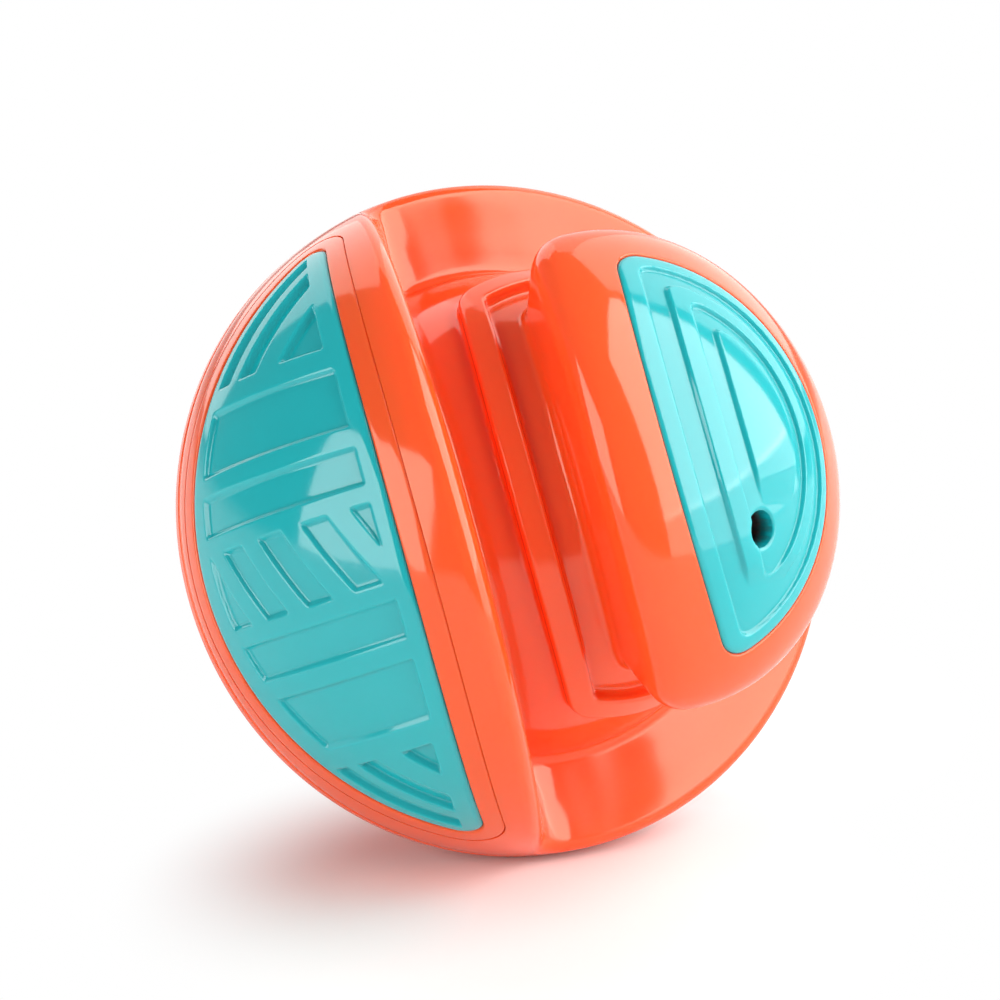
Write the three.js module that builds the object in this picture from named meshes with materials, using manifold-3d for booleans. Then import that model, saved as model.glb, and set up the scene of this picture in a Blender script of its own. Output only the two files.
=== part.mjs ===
// Squeaky dental ball for dogs: two identical soft rubber halves joined on a plane through the poles.
// Each half carries a big side lune with a ribbed pad, and a free lobe that stands in a cleaning groove.
// The front lobe holds the squeaker behind its air hole. Millimetres, +Z up.
// In the ball's own frame the seam is the plane y = 0, the poles lie on Z and the front half faces -Y.
import * as THREE from 'three';
import { mergeVertices } from 'three/addons/utils/BufferGeometryUtils.js';
import Module from 'manifold-3d';

const wasm = await Module();
wasm.setup();

// Ball
const BALL_RADIUS = 40;
const CORE_RADIUS = 28.8;
const CAVITY_RADIUS = 21;
const SEAM_GAP = 0.3;
const CLEARANCE = 0.3;

// Flange face of a half, and the groove wall of its side lune
const FLANGE_HEIGHT = 2.8;
const FLANGE_ROUND = 2.2;
const WALL_AZIMUTH = 72.5;
const WALL_OFFSET = 6.3;
const WALL_ROUND = 3.2;

// Side lune: the tray sunk in the shell and the pad in the tray
const LUNE_AZIMUTH = -61;
const LUNE_REACH = 15.5;
const LUNE_RADIUS = 68.8;
const LUNE_CORNER = 3.4;
const TRAY_BORDER = 2.6;
const TRAY_DEPTH = 6;
const LUNE_PAD_DEPTH = 3;

// Sunk panels of the side pad: heights from its middle, and depths in from its edges
const PANEL_DEPTH = 0.7;
const PANEL_MARGIN = 2.9;
const PANEL_FACET = 10;
const BAR_TOP = 4.4;
const BAR_WIDTH = 3.4;
const BAR_PITCH = 6.6;
const BAR_LEAN = 2.1;
const NARROW_FROM = 6.9;
const NARROW_TO = 11.2;
const WIDE_FROM = 14;
const WIDE_TO = 21.5;
const STRIPE_FROM = 25;
const STRIPE_TO = 34;
const STRIPE_MARGIN = 2.2;
const STRIPE_WIDTH = 2.4;
const STRIPE_PITCH = 4.4;

// Lobe, and the rib round its foot
const LOBE_AZIMUTH = 28;
const LOBE_STRAIGHT_REACH = 23.4;
const LOBE_STRAIGHT_RADIUS = 66.6;
const LOBE_BOW_REACH = 23;
const LOBE_BOW_RADIUS = 33;
const LOBE_CORNER = 7;
const LOBE_ROUND = 4.6;
const RIB_OFFSET = 5.5;
const RIB_WIDTH = 4.5;
const RIB_HEIGHT = 1.6;
const RIB_INNER_CORNER = 2;
const RIB_OUTER_CORNER = 9;

// Lobe pad
const PAD_STRAIGHT_REACH = 15.3;
const PAD_STRAIGHT_RADIUS = 47;
const PAD_BOW_REACH = 12.6;
const PAD_BOW_RADIUS = 26;
const PAD_CORNER = 4;
const PAD_DEPTH = 3.4;

// Sunk bands of the lobe pad: depths in from its straight edge, and their share of that at the bow
const BAND_DEPTH = 1;
const BAND_RUN = 0.5;
const BAND_CORNER = 0.6;
const OUTER_BAND_FROM = 2.7;
const OUTER_BAND_TO = 6.1;
const INNER_BAND_FROM = 8.5;
const INNER_BAND_TO = 11.6;
const BOW_SHARE = 0.7;

// Squeaker, on the radius through the air hole
const HOLE_ACROSS = -3.5;
const HOLE_UP = -10.7;
const AIR_HOLE_RADIUS = 2.1;
const LOBE_SKIN = 2.6;
const BARREL_RADIUS = 5;
const BARREL_BORE = 3.8;
const BARREL_FLANGE_RADIUS = 6.5;
const BARREL_FLANGE_HEIGHT = 1.4;
const CAP_HEIGHT = 1.2;
const CAP_SPIGOT = 1.8;
const CAP_VENT_RADIUS = 1.2;
const PLUG_HEIGHT = 3.4;
const TIP_CHAMBER = 2.7;
const TROUGH_SLOT = 2;
const TROUGH_WALL = 0.8;
const REED_WIDTH = 3.6;
const REED_THICKNESS = 0.3;

// How the ball lies: it stands on the rims and the lobe of its back groove
const TURN_DEG = 22;
const ROLL_DEG = -16;
const PITCH_DEG = -20.3;

// Facets
const ROUND_STEPS = 40;
const ARC_STEPS = [11, 3, 9, 3];
const SMALL_STEPS = 20;

const rad = THREE.MathUtils.degToRad;
const UP = new THREE.Vector3(0, 0, 1);

const orange = () => new THREE.MeshStandardMaterial({ color: 0xf4622f, roughness: 0.28, metalness: 0 });
const teal = () => new THREE.MeshStandardMaterial({ color: 0x3fc4bd, roughness: 0.3, metalness: 0 });
const white = () => new THREE.MeshStandardMaterial({ color: 0xe9e7df, roughness: 0.4, metalness: 0 });
const clear = () => new THREE.MeshStandardMaterial({ color: 0xd8dfe2, roughness: 0.25, metalness: 0 });

// A closed geometry as a solid for joining and cutting
function solid(geometry) {
  const bare = geometry.clone();
  bare.deleteAttribute('normal');
  bare.deleteAttribute('uv');
  const merged = mergeVertices(bare, 1e-4);
  const index = merged.index.array;
  const kept = [];
  for (let i = 0; i < index.length; i += 3) {
    const [a, b, c] = [index[i], index[i + 1], index[i + 2]];
    if (a !== b && b !== c && c !== a) kept.push(a, b, c);
  }
  const vertProperties = new Float32Array(merged.attributes.position.array);
  return new wasm.Manifold(new wasm.Mesh({ numProp: 3, vertProperties, triVerts: new Uint32Array(kept) }));
}

function geometryOf(body) {
  const mesh = body.getMesh();
  const geometry = new THREE.BufferGeometry();
  geometry.setAttribute('position', new THREE.BufferAttribute(new Float32Array(mesh.vertProperties), 3));
  geometry.setIndex(new THREE.BufferAttribute(new Uint32Array(mesh.triVerts), 1));
  return geometry;
}

function named(name, geometry, material) {
  const mesh = new THREE.Mesh(geometry, material);
  mesh.name = name;
  return mesh;
}

// Horizontal direction at an azimuth counted from -Y towards +X
function heading(azimuth) {
  return new THREE.Vector3(Math.sin(rad(azimuth)), -Math.cos(rad(azimuth)), 0);
}

function ball(radius) {
  return solid(new THREE.SphereGeometry(radius, ROUND_STEPS, ROUND_STEPS / 2).rotateX(Math.PI / 2));
}

// Everything past a level along a heading
function spacePast(azimuth, level) {
  const side = 4 * BALL_RADIUS;
  const block = new THREE.BoxGeometry(side, side, side).translate(0, -side / 2 - level, 0);
  return solid(block.rotateZ(rad(azimuth)));
}

// Revolved slice of the ball below a plane square to its axis, with a rounded rim
function roundedSlice(direction, level, round) {
  const rimHeight = level - round;
  const rimRadius = Math.sqrt((BALL_RADIUS - round) ** 2 - rimHeight ** 2);
  const rimEnd = Math.atan2(rimHeight, rimRadius);
  const points = [];
  const arcSteps = ROUND_STEPS / 2;
  for (let i = 0; i <= arcSteps; i++) {
    const angle = -Math.PI / 2 + (rimEnd + Math.PI / 2) * (i / arcSteps);
    points.push(new THREE.Vector2(BALL_RADIUS * Math.cos(angle), BALL_RADIUS * Math.sin(angle)));
  }
  for (let i = 1; i <= 4; i++) {
    const angle = rimEnd + (Math.PI / 2 - rimEnd) * (i / 4);
    points.push(new THREE.Vector2(rimRadius + round * Math.cos(angle), rimHeight + round * Math.sin(angle)));
  }
  points.push(new THREE.Vector2(0, level));
  points[0].x = 0;
  const turn = new THREE.Quaternion().setFromUnitVectors(new THREE.Vector3(0, 1, 0), direction);
  return solid(new THREE.LatheGeometry(points, ROUND_STEPS).applyQuaternion(turn));
}

// Closed outline of a bowed and a straighter arc with rounded corners, in arc lengths over the ball
function outline({ straight, bow, corner }, grow = 0) {
  const straightAt = straight.radius - straight.reach;
  const bowAt = bow.reach - bow.radius;
  const apart = straightAt - bowAt;
  const along = ((bow.radius - corner) ** 2 - (straight.radius - corner) ** 2 + apart ** 2) / (2 * apart);
  const high = Math.sqrt((bow.radius - corner) ** 2 - along ** 2);
  const bowEnd = Math.atan2(high, along);
  const straightEnd = Math.atan2(high, along - apart);
  const arcs = [
    [bowAt, 0, bow.radius, -bowEnd, bowEnd],
    [bowAt + along, high, corner, bowEnd, straightEnd],
    [straightAt, 0, straight.radius, straightEnd, 2 * Math.PI - straightEnd],
    [bowAt + along, -high, corner, -straightEnd, -bowEnd],
  ];
  return arcs.flatMap(([across, up, radius, from, to], k) =>
    Array.from({ length: ARC_STEPS[k] }, (_, i) => {
      const angle = from + (to - from) * (i / ARC_STEPS[k]);
      return [across + (radius + grow) * Math.cos(angle), up + (radius + grow) * Math.sin(angle)];
    }));
}

const luneOutline = {
  straight: { reach: LUNE_REACH, radius: LUNE_RADIUS },
  bow: { reach: LUNE_REACH, radius: LUNE_RADIUS },
  corner: LUNE_CORNER,
};
const lobeOutline = {
  straight: { reach: LOBE_STRAIGHT_REACH, radius: LOBE_STRAIGHT_RADIUS },
  bow: { reach: LOBE_BOW_REACH, radius: LOBE_BOW_RADIUS },
  corner: LOBE_CORNER,
};
const padOutline = {
  straight: { reach: PAD_STRAIGHT_REACH, radius: PAD_STRAIGHT_RADIUS },
  bow: { reach: PAD_BOW_REACH, radius: PAD_BOW_RADIUS },
  corner: PAD_CORNER,
};

// Shape moved outwards by one amount at its straight edge and another at its bow, with its own corner
function spread({ straight, bow }, byStraight, byBow, corner) {
  return {
    straight: { reach: straight.reach + byStraight, radius: straight.radius + byStraight },
    bow: { reach: bow.reach + byBow, radius: bow.radius + byBow },
    corner,
  };
}

// Point above the ball's surface at arc lengths across and up from a heading
function onBall(azimuth, across, up, radius) {
  const arc = Math.hypot(across, up);
  const angle = arc / BALL_RADIUS;
  const sideways = arc > 0 ? Math.sin(angle) / arc : 0;
  return heading(azimuth).multiplyScalar(Math.cos(angle))
    .addScaledVector(heading(azimuth + 90), across * sideways)
    .addScaledVector(UP, up * sideways)
    .multiplyScalar(radius);
}

// Solid skinned over closed rings, from the middle of its outer face down to the middle of its inner face
function ringSolid(azimuth, rings) {
  const count = rings[0].points.length;
  const first = rings[0];
  const last = rings[rings.length - 1];
  const vertices = [onBall(azimuth, ...first.middle, first.radius)];
  for (const { points, radius } of rings) {
    for (const [across, up] of points) vertices.push(onBall(azimuth, across, up, radius));
  }
  vertices.push(onBall(azimuth, ...last.middle, last.radius));
  const end = vertices.length - 1;
  const index = [];
  for (let i = 0; i < count; i++) {
    const next = (i + 1) % count;
    index.push(0, 1 + i, 1 + next);
    for (let k = 0; k < rings.length - 1; k++) {
      const inner = 1 + k * count;
      const outer = inner + count;
      index.push(inner + i, outer + i, outer + next, inner + i, outer + next, inner + next);
    }
    index.push(end, end - count + next, end - count + i);
  }
  const geometry = new THREE.BufferGeometry().setFromPoints(vertices);
  geometry.setIndex(index);
  return solid(geometry);
}

function ring(points, radius, share = 1) {
  const middle = [0, 0];
  return { points: points.map(([across, up]) => [across * share, up * share]), radius, middle };
}

// Plug with radial walls between two radii, its two faces following the ball
function plug(azimuth, shape, grow, top, bottom) {
  const points = outline(shape, grow);
  const shares = [0.3, 0.65, 1];
  return ringSolid(azimuth, [
    ...shares.map((share) => ring(points, top, share)),
    ...shares.toReversed().map((share) => ring(points, bottom, share)),
  ]);
}

// Lobe with radial walls and a rolled outer edge, rooted in the core
function lobeSolid() {
  const crown = outline(lobeOutline, -LOBE_ROUND);
  const rings = [0.35, 0.7].map((share) => ring(crown, BALL_RADIUS, share));
  for (let i = 0; i <= 4; i++) {
    const angle = (Math.PI / 2) * (i / 4);
    const inset = LOBE_ROUND * (1 - Math.sin(angle));
    rings.push(ring(outline(lobeOutline, -inset), BALL_RADIUS - LOBE_ROUND * (1 - Math.cos(angle))));
  }
  const foot = outline(lobeOutline);
  for (const share of [1, 0.5]) rings.push(ring(foot, (CORE_RADIUS + CAVITY_RADIUS) / 2, share));
  return ringSolid(LOBE_AZIMUTH, rings);
}

// Closed band between two shapes and two radii
function band(azimuth, inside, outside, bottom, top) {
  const corners = [[inside, bottom], [inside, top], [outside, top], [outside, bottom]];
  const count = outline(inside).length;
  const vertices = corners.flatMap(([shape, radius]) =>
    outline(shape).map(([across, up]) => onBall(azimuth, across, up, radius)));
  const index = [];
  for (let k = 0; k < corners.length; k++) {
    const inner = k * count;
    const outer = ((k + 1) % corners.length) * count;
    for (let i = 0; i < count; i++) {
      const next = (i + 1) % count;
      index.push(inner + i, outer + i, outer + next, inner + i, outer + next, inner + next);
    }
  }
  const geometry = new THREE.BufferGeometry().setFromPoints(vertices);
  geometry.setIndex(index);
  return solid(geometry);
}

// Low rib standing on the core round the lobe's foot
function grooveRib() {
  const root = (CORE_RADIUS + CAVITY_RADIUS) / 2;
  const far = RIB_OFFSET + RIB_WIDTH;
  const inside = spread(lobeOutline, RIB_OFFSET, RIB_OFFSET, RIB_INNER_CORNER);
  const outside = spread(lobeOutline, far, far, RIB_OUTER_CORNER);
  return band(LOBE_AZIMUTH, inside, outside, root, CORE_RADIUS + RIB_HEIGHT);
}

const squeakerAxis = onBall(LOBE_AZIMUTH, HOLE_ACROSS, HOLE_UP, 1);
const squeakerTurn = new THREE.Quaternion().setFromUnitVectors(UP, squeakerAxis);
const padFloor = BALL_RADIUS - PAD_DEPTH - CLEARANCE;
const barrelTop = padFloor - LOBE_SKIN - CLEARANCE;
const flangeTop = Math.sqrt(CAVITY_RADIUS ** 2 - BARREL_FLANGE_RADIUS ** 2) - CLEARANCE;

// Round bar along the squeaker's axis between two distances from the ball's centre
function squeakerBar(radius, from, to) {
  const bar = new THREE.CylinderGeometry(radius, radius, to - from, SMALL_STEPS);
  return solid(bar.rotateX(Math.PI / 2).translate(0, 0, (from + to) / 2).applyQuaternion(squeakerTurn));
}

function shell(withSqueaker) {
  const rimStart = -(WALL_OFFSET + WALL_ROUND) * BALL_RADIUS / (BALL_RADIUS - WALL_ROUND);
  const flange = roundedSlice(heading(0), FLANGE_HEIGHT, FLANGE_ROUND)
    .intersect(spacePast(WALL_AZIMUTH, rimStart));
  const side = roundedSlice(heading(WALL_AZIMUTH), -WALL_OFFSET, WALL_ROUND);
  let body = flange.add(side).add(ball(CORE_RADIUS)).add(grooveRib()).add(lobeSolid());
  body = body.intersect(spacePast(0, SEAM_GAP / 2)).subtract(ball(CAVITY_RADIUS));
  const over = BALL_RADIUS + TRAY_DEPTH;
  const trayFloor = BALL_RADIUS - TRAY_DEPTH - CLEARANCE;
  body = body.subtract(plug(LUNE_AZIMUTH, luneOutline, TRAY_BORDER + CLEARANCE, over, trayFloor));
  body = body.subtract(plug(LOBE_AZIMUTH, padOutline, CLEARANCE, over, padFloor));
  if (withSqueaker) {
    body = body.subtract(squeakerBar(BARREL_RADIUS + CLEARANCE, 0, barrelTop + CLEARANCE));
    body = body.subtract(squeakerBar(AIR_HOLE_RADIUS, 0, BALL_RADIUS));
  }
  return geometryOf(body);
}

function luneTray() {
  const tray = plug(LUNE_AZIMUTH, luneOutline, TRAY_BORDER, BALL_RADIUS, BALL_RADIUS - TRAY_DEPTH);
  const over = BALL_RADIUS + TRAY_DEPTH;
  const floor = BALL_RADIUS - LUNE_PAD_DEPTH - CLEARANCE;
  return geometryOf(tray.subtract(plug(LUNE_AZIMUTH, luneOutline, CLEARANCE, over, floor)));
}

// Shallow cutter for a side pad from the corners of a panel, with its edges divided to follow the ball
function panelCutter(corners) {
  const points = corners.flatMap(([across, up], k) => {
    const [toAcross, toUp] = corners[(k + 1) % corners.length];
    const parts = Math.ceil(Math.hypot(toAcross - across, toUp - up) / PANEL_FACET);
    return Array.from({ length: parts }, (_, i) =>
      [across + (toAcross - across) * (i / parts), up + (toUp - up) * (i / parts)]);
  });
  const middle = [0, 1].map((k) => points.reduce((sum, point) => sum + point[k], 0) / points.length);
  const levels = [BALL_RADIUS + PANEL_DEPTH, BALL_RADIUS - PANEL_DEPTH];
  return ringSolid(LUNE_AZIMUTH, levels.map((radius) => ({ points, radius, middle })));
}

// Place across a side pad at a height, some way in from its right edge
function luneRight(up, inset) {
  return Math.sqrt((LUNE_RADIUS - inset) ** 2 - up ** 2) - (LUNE_RADIUS - LUNE_REACH);
}

// Corners of every panel: slanted bars in the middle, a narrow and a wide panel and two stripes at each end
function lunePanels() {
  const panels = [-1, 0, 1].map((k) => {
    const left = k * BAR_PITCH - BAR_WIDTH / 2;
    const right = left + BAR_WIDTH;
    return [[left + BAR_LEAN, -BAR_TOP], [right + BAR_LEAN, -BAR_TOP],
      [right - BAR_LEAN, BAR_TOP], [left - BAR_LEAN, BAR_TOP]];
  });
  for (const [from, to] of [[NARROW_FROM, NARROW_TO], [WIDE_FROM, WIDE_TO]]) {
    const near = luneRight(from, PANEL_MARGIN);
    const far = luneRight(to, PANEL_MARGIN);
    panels.push([[-near, from], [near, from], [far, to], [-far, to]]);
    panels.push([[-far, -to], [far, -to], [near, -from], [-near, -from]]);
  }
  for (const k of [0, 1]) {
    const inset = STRIPE_MARGIN + k * STRIPE_PITCH;
    const [outFrom, outTo] = [STRIPE_FROM, STRIPE_TO].map((up) => -luneRight(up, inset));
    const [inFrom, inTo] = [STRIPE_FROM, STRIPE_TO].map((up) => -luneRight(up, inset + STRIPE_WIDTH));
    panels.push([[outFrom, STRIPE_FROM], [inFrom, STRIPE_FROM], [inTo, STRIPE_TO], [outTo, STRIPE_TO]]);
    panels.push([[outTo, -STRIPE_TO], [inTo, -STRIPE_TO], [inFrom, -STRIPE_FROM], [outFrom, -STRIPE_FROM]]);
  }
  return panels;
}

function lunePad() {
  const pad = plug(LUNE_AZIMUTH, luneOutline, 0, BALL_RADIUS, BALL_RADIUS - LUNE_PAD_DEPTH);
  return geometryOf(lunePanels().reduce((body, corners) => body.subtract(panelCutter(corners)), pad));
}

// Pad whose face steps down into two bands that follow its outline
function lobePad(withHole) {
  const nested = (by) => outline(spread(padOutline, -by, -by * BOW_SHARE, BAND_CORNER));
  const low = BALL_RADIUS - BAND_DEPTH;
  const face = [
    ring(nested(INNER_BAND_TO), BALL_RADIUS),
    ring(nested(INNER_BAND_TO - BAND_RUN), low),
    ring(nested(INNER_BAND_FROM + BAND_RUN), low),
    ring(nested(INNER_BAND_FROM), BALL_RADIUS),
    ring(nested(OUTER_BAND_TO), BALL_RADIUS),
    ring(nested(OUTER_BAND_TO - BAND_RUN), low),
    ring(nested(OUTER_BAND_FROM + BAND_RUN), low),
    ring(nested(OUTER_BAND_FROM), BALL_RADIUS),
  ];
  const edge = outline(padOutline);
  const under = [1, 0.65, 0.3].map((share) => ring(edge, BALL_RADIUS - PAD_DEPTH, share));
  const pad = ringSolid(LOBE_AZIMUTH, [...face, ring(edge, BALL_RADIUS), ...under]);
  return geometryOf(withHole ? pad.subtract(squeakerBar(AIR_HOLE_RADIUS, 0, 2 * BALL_RADIUS)) : pad);
}

// One half with its tray and pads, faced to the front
function half(side, withSqueaker) {
  const group = new THREE.Group();
  group.add(
    named(`${side}_shell`, shell(withSqueaker), orange()),
    named(`${side}_lune_tray`, luneTray(), orange()),
    named(`${side}_lune_pad`, lunePad(), teal()),
    named(`${side}_lobe_pad`, lobePad(withSqueaker), teal()),
  );
  return group;
}

// Revolved ring or disc about Z from a closed profile of radius and height pairs
function revolved(profile) {
  const points = profile.map(([radius, height]) => new THREE.Vector2(radius, height));
  return new THREE.LatheGeometry([...points, points[0]], SMALL_STEPS).rotateX(Math.PI / 2);
}

// Whistle that sounds when the ball is squeezed: barrel, end cap, reed plug and reed, heights up its axis
function squeaker() {
  const group = new THREE.Group();
  group.quaternion.copy(squeakerTurn);
  const barrelFoot = flangeTop - BARREL_FLANGE_HEIGHT;
  const web = barrelTop - BARREL_FLANGE_HEIGHT;
  const barrel = revolved([
    [BARREL_BORE, barrelFoot], [BARREL_FLANGE_RADIUS, barrelFoot], [BARREL_FLANGE_RADIUS, flangeTop],
    [BARREL_RADIUS, flangeTop], [BARREL_RADIUS, barrelTop], [AIR_HOLE_RADIUS, barrelTop],
    [AIR_HOLE_RADIUS, web], [BARREL_BORE, web],
  ]);
  const capTop = barrelFoot - CLEARANCE;
  const spigotTop = capTop + CAP_SPIGOT;
  const inside = BARREL_BORE - CLEARANCE;
  const cap = revolved([
    [CAP_VENT_RADIUS, capTop - CAP_HEIGHT], [BARREL_RADIUS, capTop - CAP_HEIGHT], [BARREL_RADIUS, capTop],
    [inside, capTop], [inside, spigotTop], [CAP_VENT_RADIUS, spigotTop],
  ]);
  const plugFoot = spigotTop + CLEARANCE;
  const shoulder = plugFoot + PLUG_HEIGHT;
  const bar = (radius, from, to) => solid(new THREE.CylinderGeometry(radius, radius, to - from, SMALL_STEPS)
    .rotateX(Math.PI / 2).translate(0, 0, (from + to) / 2));
  const block = (wide, deep, from, to, y) =>
    solid(new THREE.BoxGeometry(wide, deep, to - from).translate(0, y, (from + to) / 2));
  const tip = web - TIP_CHAMBER;
  const reedLength = tip - shoulder - 2 * CLEARANCE;
  const flatCut = block(4 * inside, 2 * inside, shoulder, tip + inside, inside);
  const slot = block(TROUGH_SLOT, inside, plugFoot - inside, tip - TROUGH_WALL, 0);
  const reedPlug = bar(inside, plugFoot, tip).subtract(flatCut).subtract(slot);
  const reed = new THREE.BoxGeometry(REED_WIDTH, REED_THICKNESS, reedLength)
    .translate(0, CLEARANCE + REED_THICKNESS / 2, (shoulder + tip) / 2);
  group.add(
    named('squeaker_barrel', geometryOf(solid(barrel)), white()),
    named('squeaker_cap', geometryOf(solid(cap)), white()),
    named('squeaker_reed_plug', geometryOf(reedPlug), white()),
    named('squeaker_reed', geometryOf(solid(reed)), clear()),
  );
  return group;
}

const front = half('front', true);
front.add(squeaker());
const back = half('back', false);
back.rotation.z = Math.PI;

const turned = new THREE.Group();
turned.rotation.z = rad(TURN_DEG);
turned.add(front, back);
const rolled = new THREE.Group();
rolled.rotation.y = rad(ROLL_DEG);
rolled.add(turned);
const dentalBall = new THREE.Group();
dentalBall.rotation.x = rad(PITCH_DEG);
dentalBall.add(rolled);

// Origin on the surface that the ball lies on, under the middle of its box
const box = new THREE.Box3().setFromObject(dentalBall, true);
dentalBall.position.set(-(box.min.x + box.max.x) / 2, -(box.min.y + box.max.y) / 2, -box.min.z);

export default dentalBall;
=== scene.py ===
import math

import bpy
import numpy as np
from mathutils import Matrix, Vector


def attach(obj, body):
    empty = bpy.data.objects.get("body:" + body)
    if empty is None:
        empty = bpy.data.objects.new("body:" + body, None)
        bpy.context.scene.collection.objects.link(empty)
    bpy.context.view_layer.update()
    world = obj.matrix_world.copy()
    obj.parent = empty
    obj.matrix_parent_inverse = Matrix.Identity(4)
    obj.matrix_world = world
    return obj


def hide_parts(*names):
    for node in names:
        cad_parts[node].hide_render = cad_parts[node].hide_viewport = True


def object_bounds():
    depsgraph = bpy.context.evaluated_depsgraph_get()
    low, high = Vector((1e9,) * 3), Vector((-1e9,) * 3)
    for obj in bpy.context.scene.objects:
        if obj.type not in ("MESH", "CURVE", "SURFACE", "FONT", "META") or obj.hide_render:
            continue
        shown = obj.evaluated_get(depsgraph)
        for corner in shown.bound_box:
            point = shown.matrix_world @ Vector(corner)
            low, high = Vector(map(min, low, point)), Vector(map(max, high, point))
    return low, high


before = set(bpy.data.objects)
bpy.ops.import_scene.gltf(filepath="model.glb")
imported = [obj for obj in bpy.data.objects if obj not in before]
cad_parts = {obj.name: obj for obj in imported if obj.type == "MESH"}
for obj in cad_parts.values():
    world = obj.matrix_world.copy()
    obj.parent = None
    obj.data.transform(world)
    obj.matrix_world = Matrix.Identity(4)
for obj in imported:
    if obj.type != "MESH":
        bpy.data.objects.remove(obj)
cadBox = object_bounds()

ball = {  # millimetres and degrees, in the ball's own frame: the seam on y = 0, the poles on z
    "radius": 40.0,
    "core": 28.8,  # radius of the grooves' floor
    "cavity": 21.0,
    "seamGap": 0.3,  # between the two halves
    "clearance": 0.3,  # under each seated piece
    "gap": 0.05,  # round the sides of each seated piece
    "crease": 50.0,  # a cut piece keeps edges sharp from this angle on
    "pitch": -20.3,
    "roll": -16.0,
    "turn": 22.0,
}
metre = 1000.0  # in millimetres
tiny = 1e-9  # keeps lengths of nothing out of divisions
ballMiddle = (np.array(cadBox[0]) + np.array(cadBox[1])) / 2
tilt = Matrix.Identity(3)
for angle, axis in (("pitch", "X"), ("roll", "Y"), ("turn", "Z")):
    tilt = tilt @ Matrix.Rotation(math.radians(ball[angle]), 3, axis)
ballTurn = np.array(tilt)
ballLean = tilt.to_euler()
print("frame loaded, ball middle at", ballMiddle.round(4))


def heading(azimuth):
    # horizontal unit vector: sine of the azimuth to +x, cosine to -y
    turn = math.radians(azimuth)
    return np.array([math.sin(turn), -math.cos(turn), 0.0])


def ontoBall(azimuth, across, up, radius):
    # arcs across and up become an angle from the heading, arc / ball radius; that direction times radius
    arc = np.hypot(across, up)
    sideways = np.sinc(arc / ball["radius"] / np.pi) / ball["radius"]
    unit = (
        np.cos(arc / ball["radius"])[..., None] * heading(azimuth)
        + (across * sideways)[..., None] * heading(azimuth + 90)
        + (up * sideways)[..., None] * np.array([0.0, 0.0, 1.0])
    )
    return unit * np.broadcast_to(radius, arc.shape)[..., None]


def toWorld(points, halfTurn):
    # the back half is the front one turned half round the poles; then the ball's tilt, then metres
    flip = np.array([-1.0, -1.0, 1.0]) if halfTurn else np.ones(3)
    return (points * flip) @ ballTurn.T / metre + ballMiddle


def smoothStep(value, middle, width):
    # 0 below the middle and 1 above it, with a cubic ramp of the given width
    share = np.clip((value - middle) / width + 0.5, 0, 1)
    return share * share * (3 - 2 * share)


def band(value, low, high, width):
    # 1 between low and high and 0 outside them, with a cubic ramp at each
    return smoothStep(value, low, width) - smoothStep(value, high, width)


def softLower(a, b, width):
    # lower of two values, with a parabola of the given width where they cross
    mix = np.clip(0.5 + 0.5 * (b - a) / width, 0, 1)
    return b + (a - b) * mix - width * mix * (1 - mix)


def cornerOf(shape):
    # An outline is two arcs, each with its reach from the middle and its radius, and a corner radius.
    # The corner circle touches both arcs: its middle, and the directions where it meets them.
    (straightReach, straightRadius), (bowReach, bowRadius) = shape["straight"], shape["bow"]
    corner = shape["corner"]
    straightAt, bowAt = straightRadius - straightReach, bowReach - bowRadius
    apart = straightAt - bowAt
    along = ((bowRadius - corner) ** 2 - (straightRadius - corner) ** 2 + apart**2) / (2 * apart)
    high = math.sqrt((bowRadius - corner) ** 2 - along**2)
    return straightAt, bowAt, bowAt + along, high, math.atan2(high, along), math.atan2(high, along - apart)


def outlineReach(shape, angle, grow=0.0):
    # from the middle to the grown outline: the nearer of the two arcs, or the corner circle between them
    straightAt, bowAt, cornerAt, high, bowEnd, straightEnd = cornerOf(shape)
    straightRadius, bowRadius = shape["straight"][1] + grow, shape["bow"][1] + grow

    def toCircle(x, y, radius):
        # far root of the ray's quadratic with a circle about x, y
        along = x * np.cos(angle) + y * np.sin(angle)
        return along + np.sqrt(np.maximum(along**2 - x * x - y * y + radius**2, 0))

    def towards(at, radius, end):
        # direction from the outline's middle to the end of an arc
        return math.atan2(radius * math.sin(end), at + radius * math.cos(end))

    reach = np.minimum(toCircle(straightAt, 0, straightRadius), toCircle(bowAt, 0, bowRadius))
    steep = np.abs(np.arctan2(np.sin(angle), np.cos(angle)))
    first, last = towards(bowAt, bowRadius, bowEnd), towards(straightAt, straightRadius, straightEnd)
    cornered = toCircle(cornerAt, np.sign(np.sin(angle)) * high, shape["corner"] + grow)
    return np.where((steep > first) & (steep < last), cornered, reach)


def spread(shape, by, corner):
    # the same two arcs moved outwards, with a corner of their own
    return {
        "straight": (shape["straight"][0] + by, shape["straight"][1] + by),
        "bow": (shape["bow"][0] + by, shape["bow"][1] + by),
        "corner": corner,
    }


def arcDepths(shape, across, up):
    # distance in from each of the two arcs: its radius less the distance to its middle
    (straightReach, straightRadius), (bowReach, bowRadius) = shape["straight"], shape["bow"]
    fromStraight = straightRadius - np.hypot(across - (straightRadius - straightReach), up)
    fromBow = bowRadius - np.hypot(across - (bowReach - bowRadius), up)
    return fromStraight, fromBow


def outlineDepth(shape, across, up):
    # distance in from the outline: the smaller depth under the two arcs, or under the corner circle
    _, _, cornerAt, high, bowEnd, straightEnd = cornerOf(shape)
    under = np.minimum(*arcDepths(shape, across, up))
    towards = np.arctan2(np.abs(up) - high, across - cornerAt)
    inCorner = (towards > bowEnd) & (towards < straightEnd)
    return np.where(inCorner, shape["corner"] - np.hypot(across - cornerAt, np.abs(up) - high), under)


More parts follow.
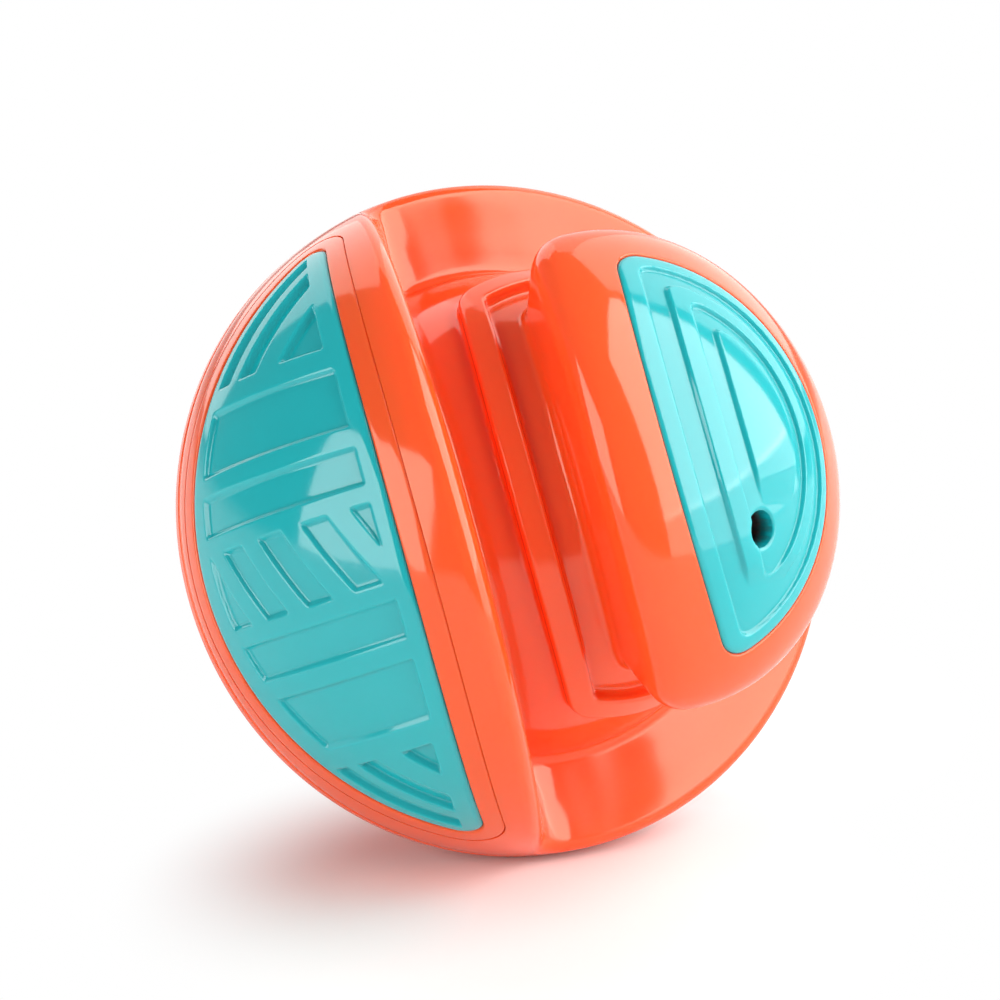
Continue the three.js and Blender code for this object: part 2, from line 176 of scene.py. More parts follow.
def evenAngles(shape, count, samples=6001):
    # directions from the middle that cut the outline into equal lengths
    angle = np.linspace(-np.pi, np.pi, samples)
    reach = outlineReach(shape, angle)
    steps = np.hypot(np.diff(reach * np.cos(angle)), np.diff(reach * np.sin(angle)))
    length = np.concatenate([[0], np.cumsum(steps)])
    return np.interp(np.arange(count) / count * length[-1], length, angle)


rounding = {
    "weight": 0.71,  # of a conic, near that of a quarter circle
    "share": 0.48,  # most of the shorter run that a rounding may take
    "lopsidedShare": 0.97,  # the same for a lopsided one, of the run before its corner
}


def roundedProfile(corners, count):
    # Corners are joined by straight runs, and each is rounded by a conic between points on its two runs.
    # A corner gives reach, radius, rounding, the steps along the run to it and the steps round it.
    # A rounding is one length, or the lengths before and after the corner and the conic's weight.
    spots = np.array([[np.broadcast_to(c[0], count), np.broadcast_to(c[1], count)] for c in corners], float)
    rows = [spots[0][None]]
    leave = spots[0]
    for k in range(1, len(corners) - 1):
        size, runSteps, bendSteps = corners[k][2:]
        lopsided = isinstance(size, tuple)
        before, after, weight = size if lopsided else (size, size, rounding["weight"])
        back, on = spots[k - 1] - spots[k], spots[k + 1] - spots[k]
        backLength, onLength = np.hypot(*back), np.hypot(*on)
        limit = rounding["share"] * np.minimum(backLength, onLength)
        if lopsided:
            limit = rounding["lopsidedShare"] * backLength
        arrive = spots[k] + back * (np.minimum(before, limit) / np.maximum(backLength, tiny))
        depart = spots[k] + on * (np.minimum(after, limit) / np.maximum(onLength, tiny))
        run = np.linspace(0, 1, runSteps + 1)[1:, None, None]
        rows.append(leave + (arrive - leave) * run)
        bend = np.linspace(0, 1, bendSteps + 1)[1:, None, None]
        shares = ((1 - bend) ** 2, 2 * bend * (1 - bend) * weight, bend**2)
        rows.append((shares[0] * arrive + shares[1] * spots[k] + shares[2] * depart) / sum(shares))
        leave = depart
    run = np.linspace(0, 1, corners[-1][3] + 1)[1:, None, None]
    rows.append(leave + (spots[-1] - leave) * run)
    profile = np.concatenate(rows)
    return profile[:, 0], profile[:, 1]


def meshOfRings(name, points):
    # rings of points from a pole to a pole: quads between rings and a fan at each end
    ringCount, count = points.shape[0] - 2, points.shape[1]
    verts = np.concatenate([points[:1, 0], points[1:-1].reshape(-1, 3), points[-1:, 0]])
    here = np.arange(count)
    nextOne = (here + 1) % count
    ring = 1 + np.arange(ringCount - 1)[:, None] * count
    above = ring + count
    quads = np.stack([ring + here, above + here, above + nextOne, ring + nextOne], -1).reshape(-1, 4)
    end = len(verts) - 1
    startFan = np.stack([np.zeros(count, int), 1 + here, 1 + nextOne], -1)
    endFan = np.stack([np.full(count, end), end - count + nextOne, end - count + here], -1)
    loops = np.concatenate([startFan.ravel(), quads.ravel(), endFan.ravel()]).astype(np.int32)
    sizes = np.concatenate([np.full(count, 3), np.full(len(quads), 4), np.full(count, 3)])
    starts = np.concatenate([[0], np.cumsum(sizes)[:-1]]).astype(np.int32)
    mesh = bpy.data.meshes.new(name)
    mesh.vertices.add(len(verts))
    mesh.vertices.foreach_set("co", verts.ravel())
    mesh.loops.add(len(loops))
    mesh.loops.foreach_set("vertex_index", loops)
    mesh.polygons.add(len(sizes))
    mesh.polygons.foreach_set("loop_start", starts)
    mesh.polygons.foreach_set("use_smooth", np.ones(len(sizes), bool))
    mesh.update(calc_edges=True)
    mesh.validate()
    return mesh


def place(name, mesh):
    # the mesh as an object of the scene, at the origin
    piece = bpy.data.objects.new(name, mesh)
    bpy.context.scene.collection.objects.link(piece)
    return piece


def cutOut(piece, cutterMesh):
    # takes a closed shape out of a piece and keeps the result as the piece's own mesh
    cutter = place("cutter", cutterMesh)
    cut = piece.modifiers.new("cut", "BOOLEAN")
    cut.operation, cut.solver, cut.object = "DIFFERENCE", "MANIFOLD", cutter
    result = bpy.data.meshes.new_from_object(piece.evaluated_get(bpy.context.evaluated_depsgraph_get()))
    piece.modifiers.clear()
    old, piece.data = piece.data, result
    result.name = piece.name
    bpy.data.objects.remove(cutter)
    bpy.data.meshes.remove(cutterMesh)
    bpy.data.meshes.remove(old)
    result.set_sharp_from_angle(angle=math.radians(ball["crease"]))


def profilePiece(azimuth, angle, corners, halfTurn, name):
    # a rounded profile of reach and radius, carried round an axis of the ball along the given directions
    reach, radius = roundedProfile(corners, len(angle))
    points = ontoBall(azimuth, reach * np.cos(angle), reach * np.sin(angle), radius)
    return meshOfRings(name, toWorld(points, halfTurn))


class Wire:
    # one shader socket; sums, differences and products of wires become Math nodes
    def __init__(self, tree, socket):
        self.tree, self.socket = tree, socket

    def node(self, kind, settings=None, values=None, out=0):
        # any other node: settings are its attributes, values go to its inputs
        made = self.tree.nodes.new(kind)
        for key, value in (settings or {}).items():
            setattr(made, key, value)
        for key, value in (values or {}).items():
            if isinstance(value, Wire):
                self.tree.links.new(value.socket, made.inputs[key])
            else:
                made.inputs[key].default_value = value
        return Wire(self.tree, made.outputs[out])

    def maths(self, operation, first, second):
        # a Math node of two wires or numbers
        return self.node("ShaderNodeMath", {"operation": operation}, {0: first, 1: second})

    def __add__(self, other):
        return self.maths("ADD", self, other)

    def __sub__(self, other):
        return self.maths("SUBTRACT", self, other)

    def __mul__(self, other):
        return self.maths("MULTIPLY", self, other)

    def __rsub__(self, other):
        return self.maths("SUBTRACT", other, self)

    __radd__ = __add__
    __rmul__ = __mul__


finish = {  # what all the mouldings share
    "glossDrift": 0.04,
    "slowNoise": 80.0,
    "fineNoise": 420.0,
    "noiseDetail": 1.0,
    "drawnOut": (1.0, 1.0, 2.5),  # the slow noise is longer towards the poles
    "unevenness": 0.3,  # strength of the slow waves in the gloss
    "waveHeight": 0.0007,  # metres
    "letIn": 0.35,  # share of the light that enters
    "travel": 0.004,  # metres that it goes inside, times each colour's scatter
    "ior": 1.6,
    "shine": (1.0, 1.0, 1.0),  # tint of the highlights
}
orange = {
    "colour": (0.93, 0.098, 0.02),
    "deep": (0.92, 0.089, 0.017),  # where the slow noise is low
    "scatter": (1.0, 0.2, 0.06),  # how far red, green and blue travel inside, as shares
    "gloss": 0.09,
    "shine": (1.0, 0.96, 0.8),
}
teal = {
    "colour": (0.008, 0.43, 0.47),
    "deep": (0.007, 0.405, 0.445),
    "scatter": (0.2, 0.8, 0.8),
    "gloss": 0.09,
    "paintedHoleShade": (0.002, 0.03, 0.03),  # painted shade: the colour down in the air hole, darkened there in place of its shadow
    "paintedHoleShadeSpan": (0.0368, 0.0389),  # metres from the ball's middle, from the painted hole shade to the plain colour
}
white = {
    "colour": (0.78, 0.76, 0.70),
    "deep": (0.74, 0.72, 0.66),
    "scatter": (1.0, 0.9, 0.8),
    "gloss": 0.35,
}
film = {
    "colour": (0.62, 0.68, 0.72),
    "deep": (0.58, 0.64, 0.68),
    "scatter": (0.9, 1.0, 1.0),
    "gloss": 0.2,
}


def farFrom(wire, spot, middle):
    # distance from a point
    return wire.node("ShaderNodeVectorMath", {"operation": "DISTANCE"}, {0: spot, 1: middle}, out="Value")


def ramp(wire, value, low, high):
    # 0 at low and 1 at high, with a smooth step between
    span = {"Value": value, "From Min": low, "From Max": high}
    return wire.node("ShaderNodeMapRange", {"interpolation_type": "SMOOTHSTEP"}, span)


def blend(wire, share, first, second):
    # colour between the first, at share 0, and the second, at share 1
    return wire.node("ShaderNodeMix", {"data_type": "RGBA"}, {0: share, 6: first, 7: second}, out=2)


def moulded(name, tint):
    # glossy moulding: two close colours and the gloss drift over slow and fine noise; some light is let in;
    # where given, painted shade darkens the colour deep in the air hole
    made = bpy.data.materials.new(name)
    made.use_nodes = True
    tree = made.node_tree
    shader = tree.nodes["Principled BSDF"]
    wire = Wire(tree, None)
    spot = wire.node("ShaderNodeTexCoord", out="Object")
    along = {"Vector": spot, "Location": ballMiddle, "Rotation": ballLean, "Scale": finish["drawnOut"]}
    drawn = wire.node("ShaderNodeMapping", {"vector_type": "TEXTURE"}, along)
    detail = finish["noiseDetail"]
    slowValues = {"Vector": drawn, "Scale": finish["slowNoise"], "Detail": detail}
    fineValues = {"Vector": spot, "Scale": finish["fineNoise"], "Detail": detail}
    slow = wire.node("ShaderNodeTexNoise", values=slowValues)
    fine = wire.node("ShaderNodeTexNoise", values=fineValues)
    colour = blend(wire, slow, (*tint["deep"], 1), (*tint["colour"], 1))
    # painted shade: deep in the air hole the colour goes over to a near black one, standing in for the
    # shadow there
    if "paintedHoleShade" in tint:
        outOfHoleShade = ramp(wire, farFrom(wire, spot, ballMiddle), *tint["paintedHoleShadeSpan"])
        colour = blend(wire, outOfHoleShade, (*tint["paintedHoleShade"], 1), colour)
    gloss = tint["gloss"] + finish["glossDrift"] * (fine - 0.5)
    waves = {"Height": slow, "Strength": finish["unevenness"], "Distance": finish["waveHeight"]}
    normal = wire.node("ShaderNodeBump", values=waves)
    for socket, source in (("Base Color", colour), ("Roughness", gloss), ("Normal", normal)):
        tree.links.new(source.socket, shader.inputs[socket])
    shader.inputs["Subsurface Weight"].default_value = finish["letIn"]
    shader.inputs["Subsurface Radius"].default_value = tint["scatter"]
    shader.inputs["Subsurface Scale"].default_value = finish["travel"]
    shader.inputs["IOR"].default_value = finish["ior"]
    shader.inputs["Specular Tint"].default_value = (*tint.get("shine", finish["shine"]), 1)
    return made


orangeRubber = moulded("orangeRubber", orange)
tealRubber = moulded("tealRubber", teal)
whitePlastic = moulded("whitePlastic", white)
reedFilm = moulded("reedFilm", film)
print("four materials mixed")

lune = {  # outline of the big pad: an azimuth, reach and radius of two arcs, and a corner radius
    "azimuth": -61.0,
    "straight": (15.5, 68.8),
    "bow": (15.5, 68.8),
    "corner": 3.4,
}
tray = {
    "border": 2.75,  # beyond the pad's outline
    "depth": 6.0,
    "lip": 0.35,  # rounding beside the pad
    "edge": 0.32,  # rounding beside the shell
    "foot": 0.2,
    "steps": 420,
    "plugOver": 5.0,  # how far the cutter of its pocket stands out of the ball
    "plugEdge": 0.1,
    "plugSteps": 300,
}


def lunePlug(halfTurn):
    # the tray's outline with its gap, carried straight down to a clearance under the tray
    angle = evenAngles(lune, tray["plugSteps"])
    reach = outlineReach(lune, angle, tray["border"] + ball["gap"])
    top, bed = ball["radius"] + tray["plugOver"], ball["radius"] - tray["depth"] - ball["clearance"]
    corners = [
        (0, top),
        (reach, top, tray["plugEdge"], 8, 1),
        (reach, bed, tray["plugEdge"], 8, 1),
        (0, bed, 0, 8),
    ]
    return profilePiece(lune["azimuth"], angle, corners, halfTurn, "lunePlug")


def trayPiece(name, halfTurn):
    # one closed profile: bed under the pad, wall, border with two rounded edges, outer wall and underside
    angle = evenAngles(lune, tray["steps"])
    radius = ball["radius"]
    inner, outer = outlineReach(lune, angle, ball["gap"]), outlineReach(lune, angle, tray["border"])
    bed, under = radius - lunePad["depth"] - ball["clearance"], radius - tray["depth"]
    corners = [
        (0, bed),
        (inner, bed, tray["foot"], 10, 1),
        (inner, radius, tray["lip"], 4, 6),
        (outer, radius, tray["edge"], 4, 6),
        (outer, under, tray["foot"], 5, 1),
        (0, under, 0, 10),
    ]
    return place(name, profilePiece(lune["azimuth"], angle, corners, halfTurn, name))


lunePad = {
    "depth": 3.0,
    "edge": 1.0,  # width of the rolled edge, and how far it drops
    "drop": 0.35,
    "sunk": 0.5,  # depth of the panels
    "bevel": 0.5,
    "rows": 370,
    "tipRows": 40,
    "columns": 190,
    "underColumns": 12,
    "pattern": {
        "low": 1.2,  # how far the pattern sits below the pad's middle
        "drawn": 1.03,  # heights are drawn in by this much
        "barPitch": 6.6,
        "barShift": 1.6,
        "barSlope": 0.48,
        "barHalfWidth": 1.7,
        "barHalfHeight": 4.4,
        "narrow": (6.9, 11.2),  # heights of the two panels' ends
        "wide": (14.0, 21.5),
        "endsFrom": 23.0,  # margins of the ends hold from here on
        "stripesFrom": 25.0,
        "outerStripe": (2.0, 4.0),  # in from the left edge
        "innerStripe": (6.0, 8.8),
        "cornerFrom": 12.6,  # all that lies further in is sunk
        "stripesDeeper": 1.7,
        "leftMargin": 3.6,
        "leftLean": 0.045,  # the left margin shrinks by this with height
        "rightMargin": 2.2,
        "endRightMargin": 3.0,
    },
}


def luneRelief(across, up):
    # Sunk between margins: slanted bars in the middle, a narrow and a wide panel above and below them, and
    # stripes along the left edge at both ends; each is a product of smooth steps.
    fromLeft, fromRight = arcDepths(lune, across, up)
    pattern, bevel = lunePad["pattern"], lunePad["bevel"]
    pitch = pattern["barPitch"]
    drawn = pattern["drawn"] * up + pattern["low"]
    high = np.abs(drawn)
    leaning = across - pattern["barShift"] + pattern["barSlope"] * drawn
    slant = np.mod(leaning + pitch / 2, pitch) - pitch / 2
    inBars = smoothStep(pattern["barHalfHeight"] - high, 0, bevel)
    bars = inBars * smoothStep(pattern["barHalfWidth"] - np.abs(slant), 0, bevel)
    panels = band(high, *pattern["narrow"], bevel) + band(high, *pattern["wide"], bevel)
    outerStripe = band(fromLeft, *pattern["outerStripe"], bevel)
    innerStripe = band(fromLeft, *pattern["innerStripe"], bevel)
    stripes = outerStripe + innerStripe + smoothStep(fromLeft, pattern["cornerFrom"], bevel)
    ends = pattern["stripesDeeper"] * smoothStep(high, pattern["stripesFrom"], bevel) * stripes
    atEnds = high > pattern["endsFrom"]
    leftMargin = pattern["leftMargin"] - pattern["leftLean"] * up
    rightMargin = np.where(atEnds, pattern["endRightMargin"], pattern["rightMargin"])
    leftEdge = np.where(atEnds, 1, smoothStep(fromLeft, leftMargin, bevel))
    rightEdge = smoothStep(fromRight, rightMargin, bevel)
    return -lunePad["sunk"] * (bars + panels + ends) * leftEdge * rightEdge


def rolledEdge(shape, across, up, settings):
    # drop of a quarter ellipse along the outline, its run the edge's width
    inset = np.clip(1 - outlineDepth(shape, across, up) / settings["edge"], 0, 1)
    return settings["drop"] * (1 - np.sqrt(np.maximum(1 - inset**2, 0)))


def lunePadPiece(name, halfTurn):
    # Sections square to the long axis, from tip to tip, over the top and back along the underside.
    # The half width is that of the arc, or of the corner circle near a tip.
    reach, radius = lune["straight"]
    _, _, _, high, _, straightEnd = cornerOf(lune)
    tipFrom = high + lune["corner"] * math.sin(straightEnd)
    tip = high + lune["corner"]
    count, underCount = lunePad["columns"], lunePad["underColumns"]
    nearTip = tipFrom + (tip - tipFrom) * np.sin(np.linspace(0, np.pi / 2, lunePad["tipRows"]))[1:]
    up = np.concatenate([-nearTip[::-1], np.linspace(-tipFrom, tipFrom, lunePad["rows"]), nearTip])[:, None]
    onArc = np.sqrt(radius**2 - up**2) - (radius - reach)
    onCorner = np.sqrt(np.maximum(lune["corner"] ** 2 - (np.abs(up) - high) ** 2, 0))
    half = np.where(np.abs(up) < tipFrom, onArc, onCorner)
    across = half * np.linspace(1, -1, count)
    topUp = np.broadcast_to(up, across.shape)
    top = ball["radius"] + luneRelief(across, topUp) - rolledEdge(lune, across, topUp, lunePad)
    underAcross = half * np.linspace(-1, 1, underCount)
    under = np.full(underAcross.shape, ball["radius"] - lunePad["depth"])
    rings = ontoBall(
        lune["azimuth"],
        np.concatenate([across, underAcross], 1),
        np.broadcast_to(up, (len(up), count + underCount)),
        np.concatenate([top, under], 1),
    )
    return place(name, meshOfRings(name, toWorld(rings, halfTurn)))


lobe = {
    "azimuth": 28.0,
    "straight": (23.4, 66.6),
    "bow": (23.0, 33.0),
    "corner": 7.0,
    "round": (7.8, 4.8, 1.5),  # of its edge: over the face, down the side, weight
    "foot": 1.6,
}
groove = {
    "flange": 2.8,  # from the seam's plane
    "flangeRound": 2.0,
    "wallAzimuth": 72.5,
    "wall": 6.3,  # from the ball's middle
    "wallRound": 3.4,
    "rimBlend": 8.0,  # run over which the wall's rounding goes over to the flange's
    "corner": 4.0,  # softening where wall and flange meet
    "foot": 1.5,  # fillet between the core and its walls
    "wallBend": 0.5,
    "ribOffset": 5.5,
    "ribWidth": 4.5,
    "ribHeight": 1.6,
    "ribInnerCorner": 2.0,
    "ribOuterCorner": 9.0,
    "ribInnerRound": 0.75,
    "ribOuterRound": 1.4,
    "ribFoot": 1.2,
    "seamRound": 0.35,
    "cavityRound": 0.2,
    "steps": 420,
}


def planeReach(normal, level, radius, angle):
    # arc from the lobe's axis to where a circle of the given radius, in each direction, sinks to a plane
    axis = heading(lobe["azimuth"]) @ normal
    side = np.cos(angle) * (heading(lobe["azimuth"] + 90) @ normal) + np.sin(angle) * normal[2]
    size = np.hypot(axis, side)
    turn = np.arctan2(side, axis) + np.arccos(np.clip(level / radius / size, -1, 1))
    return turn * ball["radius"]


def grooveSides(angle, radius):
    # reach of the flange and of the side wall
    flange = planeReach(heading(0), groove["flange"], radius, angle)
    wall = planeReach(heading(groove["wallAzimuth"]), -groove["wall"], radius, angle)
    return flange, wall


def grooveReach(angle, radius):
    # nearer of the flange and the side wall, softened where they meet
    return softLower(*grooveSides(angle, radius), groove["corner"])


def shellPiece(name, halfTurn):
    # one closed profile of reach and radius: pocket, lobe, core with rib, groove wall, ball, seam, cavity
    radius, core, cavity = ball["radius"], ball["core"], ball["cavity"]
    angle = evenAngles(lobe, groove["steps"])
    padFloor = radius - lobePad["depth"] - ball["clearance"]
    pocket = outlineReach(lobePad, angle, ball["gap"])
    edge = outlineReach(lobe, angle)
    ribFar = groove["ribOffset"] + groove["ribWidth"]
    ribIn = outlineReach(spread(lobe, groove["ribOffset"], groove["ribInnerCorner"]), angle)
    ribOut = outlineReach(spread(lobe, ribFar, groove["ribOuterCorner"]), angle)
    ribTop = core + groove["ribHeight"]
    halfway = (core + radius) / 2
    flange, wall = grooveSides(angle, radius)
    flangeShare = smoothStep(wall - flange, 0, groove["rimBlend"])
    rim = groove["wallRound"] + (groove["flangeRound"] - groove["wallRound"]) * flangeShare
    seam = [planeReach(heading(0), ball["seamGap"] / 2, r, angle) for r in (radius, cavity)]
    corners = [
        (0, padFloor),
        (pocket, padFloor, lobePad["foot"], 8, 2),
        (pocket, radius, lobePad["lip"], 4, 5),
        (edge, radius, lobe["round"], 4, 26),
        (edge, core, lobe["foot"], 5, 8),
        (ribIn, core, groove["ribInnerRound"], 8, 5),
        (ribIn, ribTop, groove["ribInnerRound"], 2, 5),
        (ribOut, ribTop, groove["ribOuterRound"], 8, 5),
        (ribOut, core, groove["ribFoot"], 2, 4),
        (grooveReach(angle, core), core, groove["foot"], 10, 8),
        (grooveReach(angle, halfway), halfway, groove["wallBend"], 3, 1),
        (grooveReach(angle, radius), radius, rim, 3, 9),
        (seam[0], radius, groove["seamRound"], 44, 3),
        (seam[1], cavity, groove["cavityRound"], 6, 1),
        (0, cavity, 0, 24),
    ]
    shell = place(name, profilePiece(lobe["azimuth"], angle, corners, halfTurn, name))
    cutOut(shell, lunePlug(halfTurn))
    return shell


lobePad = {
    "straight": (15.3, 47.0),
    "bow": (12.6, 26.0),
    "corner": 4.0,
    "depth": 3.4,
    "edge": 0.9,  # width of the rolled edge, and how far it drops
    "drop": 0.3,
    "lip": 0.3,  # roundings of its pocket, at the top and at the floor
    "foot": 0.3,
    "sunk": 0.52,  # depth of the face between its ridges
    "bevel": 0.5,
    "rows": 170,
    "crowding": 0.9,  # power that spaces the rows out from the middle
    "underRows": (1.0, 0.6, 0.0),  # as shares of the outline
    "columns": 480,
    "pattern": {
        "meet": 2.2,  # softening where the depths from the two arcs meet
        "bowShare": 0.7,  # bands along the bow have this share of their width
        "border": 2.8,
        "ridge": (5.9, 8.7),
        "ridgeFade": (-15.5, 3.5),  # height where it fades out, and over what length
        "middle": 11.4,
        "middleFade": (-6.0, 5.0),
    },
}
airHole = {
    "across": -3.5,
    "up": -10.7,
    "radius": 2.1,
    "top": 50.0,  # of the hole's cutter
    "edge": 0.4,  # width of its rolled edge, and the drop as a share of that
    "edgeDrop": 0.6,
    "bore": 5.3,  # radius of the squeaker's bore
    "boreTop": 33.7,
    "bottom": 15.0,  # of both cutters, in the cavity
    "sides": 64,
}


def lobeRelief(across, up, pierced):
    # Border, ridge and middle stand proud of a sunk face, as smooth steps of the depth from the outline.
    # Ridge and middle fade out low down, and the edge of the air hole rolls in as a parabola.
    pattern, bevel = lobePad["pattern"], lobePad["bevel"]
    fromStraight, fromBow = arcDepths(lobePad, across, up)
    depth = softLower(fromStraight, fromBow / pattern["bowShare"], pattern["meet"])
    border = 1 - smoothStep(depth, pattern["border"], bevel)
    ridge = band(depth, *pattern["ridge"], bevel) * smoothStep(up, *pattern["ridgeFade"])
    middle = smoothStep(depth, pattern["middle"], bevel) * smoothStep(up, *pattern["middleFade"])
    toHole = np.hypot(across - airHole["across"], up - airHole["up"])
    inset = np.clip((airHole["radius"] + airHole["edge"] - toHole) / airHole["edge"], 0, 1)
    roll = airHole["edgeDrop"] * airHole["edge"] * inset**2 if pierced else 0.0
    return -lobePad["sunk"] * (1 - np.clip(border + ridge + middle, 0, 1)) - roll


def lobePadPiece(name, halfTurn):
    # Top: shares of the outline in each direction, at the ball's radius plus relief, with a rolled edge.
    # Then the side and the underside, as smaller and smaller shares of the outline.
    angle = evenAngles(lobePad, lobePad["columns"])
    outer = outlineReach(lobePad, angle)
    share = np.linspace(0, 1, lobePad["rows"])[:, None] ** lobePad["crowding"]
    across, up = share * outer * np.cos(angle), share * outer * np.sin(angle)
    relief = lobeRelief(across, up, not halfTurn)
    height = ball["radius"] + relief - rolledEdge(lobePad, across, up, lobePad)
    under = ball["radius"] - lobePad["depth"]
    low = [ontoBall(lobe["azimuth"], s * across[-1], s * up[-1], under)[None] for s in lobePad["underRows"]]
    rings = np.concatenate([ontoBall(lobe["azimuth"], across, up, height), *low])
    return place(name, meshOfRings(name, toWorld(rings, halfTurn)))


def squeakerBar(radius, top):
    # round bar along the ball's radius through the air hole, from inside the cavity up to the top
    spot = ontoBall(lobe["azimuth"], np.array(airHole["across"]), np.array(airHole["up"]), 1.0)
    angle = np.arange(airHole["sides"]) / airHole["sides"] * 2 * np.pi
    first = np.cross(spot, [0, 0, 1.0])
    first /= np.linalg.norm(first)
    second = np.cross(spot, first)
    ring = radius * (np.cos(angle)[:, None] * first + np.sin(angle)[:, None] * second)
    high, low = spot * top, spot * airHole["bottom"]
    rings = [0 * ring + high, ring + high, ring + low, 0 * ring + low]
    return meshOfRings("squeakerBar", toWorld(np.array(rings), False))


for side, halfTurn in (("front", False), ("back", True)):
    shell = shellPiece(f"{side}Shell", halfTurn)
    trayMade = trayPiece(f"{side}LuneTray", halfTurn)
    bigPad = lunePadPiece(f"{side}LunePad", halfTurn)
    smallPad = lobePadPiece(f"{side}LobePad", halfTurn)
    if not halfTurn:
        cutOut(smallPad, squeakerBar(airHole["radius"], airHole["top"]))
        cutOut(shell, squeakerBar(airHole["radius"], airHole["top"]))
        cutOut(shell, squeakerBar(airHole["bore"], airHole["boreTop"]))
    for piece, node, paint, slot in (
        (shell, "shell", orangeRubber, "orange_rubber"),
        (trayMade, "lune_tray", orangeRubber, "orange_rubber"),
        (bigPad, "lune_pad", tealRubber, "teal_rubber"),
        (smallPad, "lobe_pad", tealRubber, "teal_rubber"),
    ):
        piece.data.materials.clear()
        piece.data.materials.append(paint)
        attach(piece, "ball")
        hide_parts(f"{side}_{node}")
        print(side, node, "made,", len(piece.data.polygons), "faces")

for node, paint in (
    ("squeaker_barrel", whitePlastic),
    ("squeaker_cap", whitePlastic),
    ("squeaker_reed_plug", whitePlastic),
    ("squeaker_reed", reedFilm),
):
    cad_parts[node].data.materials.clear()
    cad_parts[node].data.materials.append(paint)
print("squeaker painted")

floor = {  # metres
    "size": 6.0,
    "colour": (0.9, 0.9, 0.9),
    "roughness": 0.9,
    "feet": ((0.001, -0.028), (0.014, 0.036)),  # in front of the ball and behind it
    "clearFrom": 0.0205,  # from a foot to where the paint begins to give way to white
    "clearRun": 0.026,
    "mirrored": 0.3,  # how much of the white a gloss shows
}


def whereSeen(wire, mirroredShare):
    # 1 for what the camera sees, plainly or through something, and a share for what a gloss mirrors
    seen = wire.node("ShaderNodeLightPath", out="Is Camera Ray")
    mirrored = wire.node("ShaderNodeLightPath", out="Is Glossy Ray")
    through = wire.node("ShaderNodeLightPath", out="Is Transmission Ray")
    return seen + mirroredShare * mirrored + through


def floorPaint():
    # pale paint that gives way to plain white with distance from the nearer foot, only where it is seen
    made = bpy.data.materials.new("floorPaint")
    made.use_nodes = True
    tree = made.node_tree
    shader = tree.nodes["Principled BSDF"]
    shader.inputs["Base Color"].default_value = (*floor["colour"], 1)
    shader.inputs["Roughness"].default_value = floor["roughness"]
    shader.inputs["Specular IOR Level"].default_value = 0.0
    wire = Wire(tree, None)
    spot = wire.node("ShaderNodeTexCoord", out="Object")
    away = wire.maths("MINIMUM", *[farFrom(wire, spot, (*foot, 0.0)) for foot in floor["feet"]])
    clear = ramp(wire, away, floor["clearFrom"], floor["clearFrom"] + floor["clearRun"])
    glow = wire.node("ShaderNodeEmission", values={"Color": (1, 1, 1, 1), "Strength": 1.0})
    share = clear * whereSeen(wire, floor["mirrored"])
    mixed = wire.node("ShaderNodeMixShader", values={0: share, 1: Wire(tree, shader.outputs[0]), 2: glow})
    tree.links.new(mixed.socket, tree.nodes["Material Output"].inputs["Surface"])
    return made


half = floor["size"] / 2
floorCorners = [(-half, -half, 0), (half, -half, 0), (half, half, 0), (-half, half, 0)]
floorMesh = bpy.data.meshes.new("floor")
floorMesh.from_pydata(floorCorners, [], [(0, 1, 2, 3)])
floorMesh.materials.append(floorPaint())
place("floor", floorMesh)
print("floor laid")


def outFrom(azimuth, elevation, distance):
    # point at a distance from the ball's middle: azimuth from -y towards +x, elevation up from level
    turn, rise = math.radians(azimuth), math.radians(elevation)
    aim = Vector((math.sin(turn) * math.cos(rise), -math.cos(turn) * math.cos(rise), math.sin(rise)))
    return Vector(ballMiddle) + aim * distance


def aimAtBall(piece, spot, upright=False):
    # the piece's -z axis points from the spot to the ball's middle, or level towards it if upright
    aim = Vector(ballMiddle) - spot
    if upright:
        aim.z = 0
    piece.location = spot
    piece.rotation_mode = "QUATERNION"
    piece.rotation_quaternion = aim.to_track_quat("-Z", "Y")
    bpy.context.scene.collection.objects.link(piece)


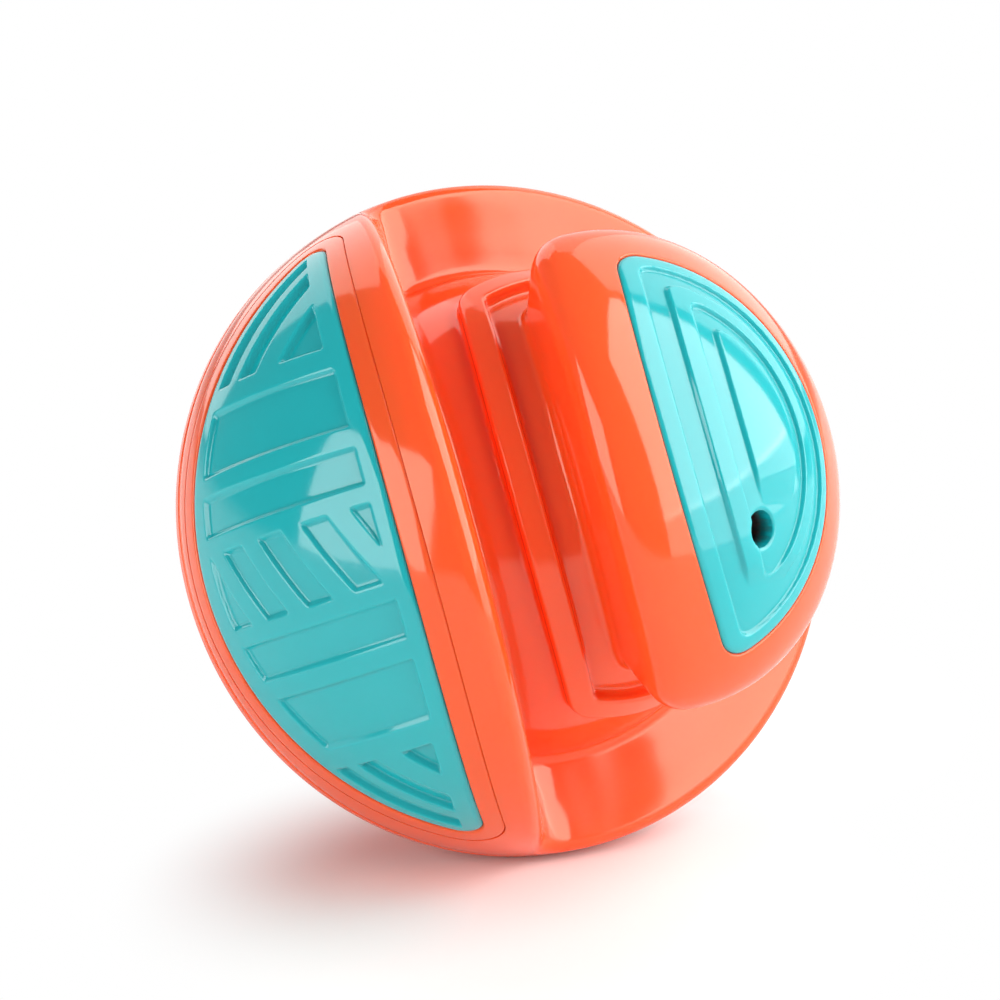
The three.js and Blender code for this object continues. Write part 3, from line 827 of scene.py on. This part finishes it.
lamps = {  # azimuth, elevation, distance in metres; width and height; how bright the softbox itself looks
    "right": {"from": (82.8, 51.2, 1.284), "size": (1.095, 1.695), "radiance": 4.5},
    "rightLow": {"from": (82.8, 5, 0.81), "size": (1.095, 0.2), "radiance": 2.5},
    "rearRight": {"from": (146, 46, 1.17), "size": (0.68, 1.58), "radiance": 1.8},
    "frontLeft": {"from": (-47, 18, 0.838), "size": (0.68, 0.575), "radiance": 3.6},
    "rear": {"from": (182.5, 41.6, 1.204), "size": (0.43, 1.5), "radiance": 1.0},
    "rearLeft": {"from": (-145, 37, 1.0), "size": (0.56, 1.16), "radiance": 1.5},
}
lampColour = (1.0, 0.99, 0.965)
for name, lamp in lamps.items():
    light = bpy.data.lights.new(f"{name}Lamp", "AREA")
    light.shape = "RECTANGLE"
    light.size, light.size_y = lamp["size"]
    light.color = lampColour
    light.energy = lamp["radiance"] * math.pi * light.size * light.size_y
    aimAtBall(bpy.data.objects.new(f"{name}Lamp", light), outFrom(*lamp["from"]), upright=True)
print("lamps placed:", ", ".join(lamps))

studio = {
    "glow": 0.18,  # light from all round
    "mirrored": 0.1,  # how much more of the white a gloss shows
}
world = bpy.data.worlds.new("studio")
bpy.context.scene.world = world
world.use_nodes = True
sky = world.node_tree.nodes["Background"]
sky.inputs["Color"].default_value = (1, 1, 1, 1)
seenWhite = whereSeen(Wire(world.node_tree, None), studio["mirrored"])
backdrop = studio["glow"] + (1 - studio["glow"]) * seenWhite
world.node_tree.links.new(backdrop.socket, sky.inputs["Strength"])
print("backdrop set")

camera = {"from": (1.5, 17.0, 0.40), "lens": 121.6, "sensor": 36.0, "shift": (-0.0078, 0.0175)}
cameraData = bpy.data.cameras.new("camera")
cameraData.lens, cameraData.sensor_width = camera["lens"], camera["sensor"]
cameraData.shift_x, cameraData.shift_y = camera["shift"]
cameraPiece = bpy.data.objects.new("camera", cameraData)
aimAtBall(cameraPiece, outFrom(*camera["from"]))
bpy.context.scene.camera = cameraPiece
bpy.context.scene.view_settings.view_transform = "Standard"
print("camera set")
